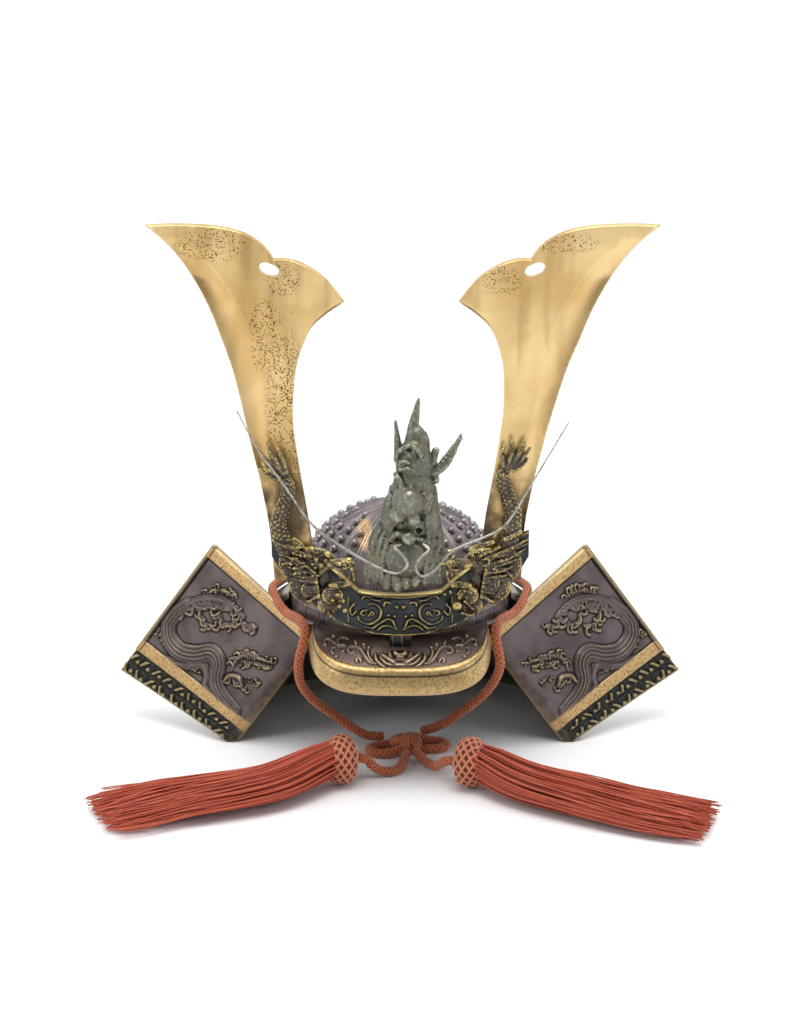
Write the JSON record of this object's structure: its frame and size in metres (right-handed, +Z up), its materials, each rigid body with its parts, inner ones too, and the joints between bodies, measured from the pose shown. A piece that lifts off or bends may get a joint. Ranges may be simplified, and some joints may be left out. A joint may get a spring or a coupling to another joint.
{
  "type": "display kabuto helmet",
  "caption": "cast-metal display kabuto: studded bowl, flared neck guard, turned-back cheek plates, visor, dragon crest between tall brass horns, knotted cord with tassels",
  "frame": {"origin": "bottom centre of the helmet on the surface it stands on, below the middle of its depth; the bowl's axis is a few millimetres in front of it", "axes": "+Z up, the helmet faces -Y, X runs across it"},
  "size_m": [0.3319, 0.273, 0.2903],
  "materials": {
    "bronze": "purple-brown patinated cast bronze, rubbed to brass on raised bands",
    "guard_bronze": "grey-green patinated casting",
    "dark_iron": "blue-black patina with gold rubbed on the relief",
    "horn_brass": "polished and pitted brass",
    "grey_casting": "dull grey-green casting",
    "wire": "bent steel wire",
    "cord_silk": "braided silk cord",
    "tassel_silk": "twisted silk thread"
  },
  "bodies": {
    "root": {"bowl": "bronze", "neck_guard": "guard_bronze", "turnback_left": "bronze", "turnback_right": "bronze", "visor": "bronze", "horn_base": "dark_iron", "horn_left": "horn_brass", "horn_right": "horn_brass", "dragon_crest": "grey_casting", "whisker_left": "wire", "whisker_right": "wire", "chin_cord": "cord_silk", "cord_tail_left": "cord_silk", "cord_tail_right": "cord_silk", "cord_knot": "cord_silk", "tassel_left": "tassel_silk", "tassel_right": "tassel_silk"}
  },
  "joints": []
}
